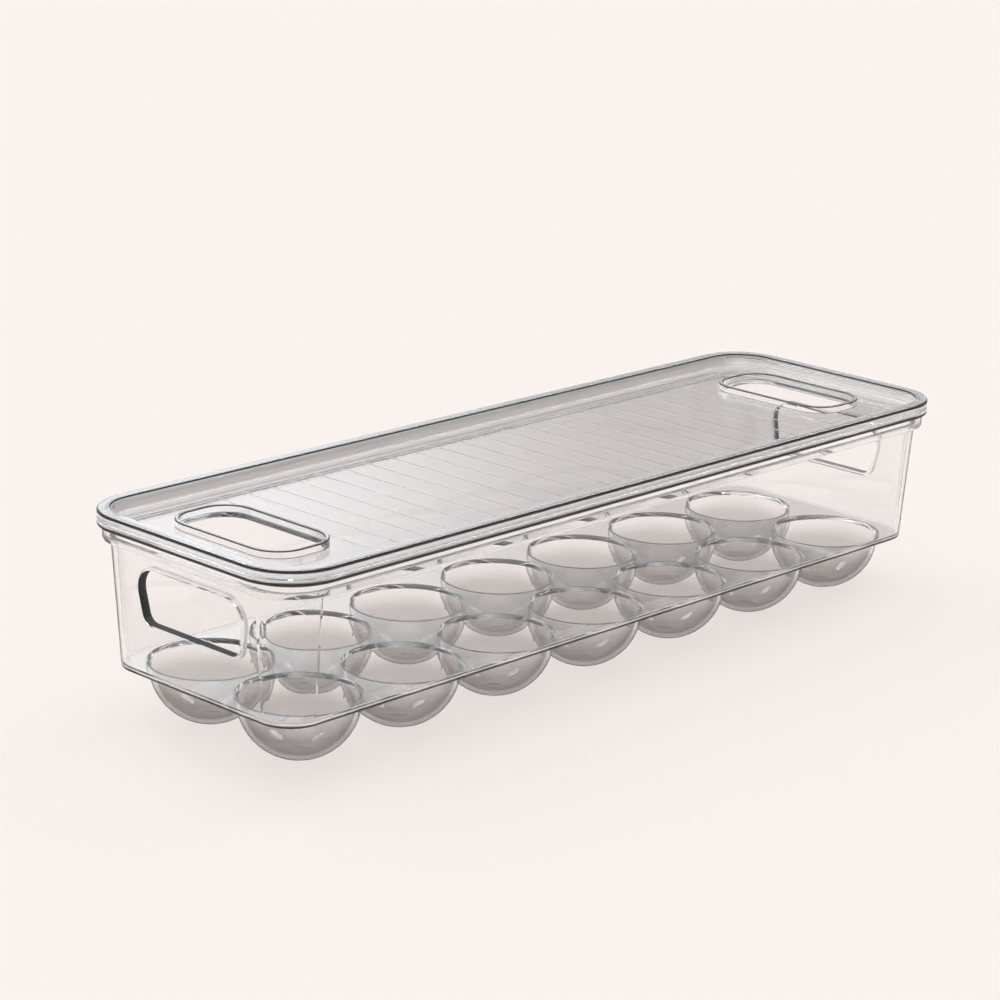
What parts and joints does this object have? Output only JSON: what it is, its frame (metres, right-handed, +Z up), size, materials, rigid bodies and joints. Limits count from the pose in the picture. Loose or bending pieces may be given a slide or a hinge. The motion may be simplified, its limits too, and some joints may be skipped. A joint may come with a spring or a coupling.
{
  "type": "egg holder",
  "caption": "Long clear egg holder: a tray with two rows of round-bottomed cups, hand holes in its end walls, and a lift-off lid with finger openings.",
  "frame": {"origin": "on the surface that the holder stands on, under the middle of its outline", "axes": "+X along the length, +Y across the two rows of cups, +Z up"},
  "size_m": [0.343, 0.1068, 0.0762],
  "materials": {
    "tray_plastic": "clear, polished",
    "lid_plastic": "clear, polished"
  },
  "bodies": {
    "tray": {"egg_tray": "tray_plastic"},
    "lid": {"lid": "lid_plastic"}
  },
  "joints": [
    {"name": "lid_lift", "type": "slide", "parent": "tray", "child": "lid", "axis": [0, 0, 1], "range_m": [0, 0.1]}
  ]
}
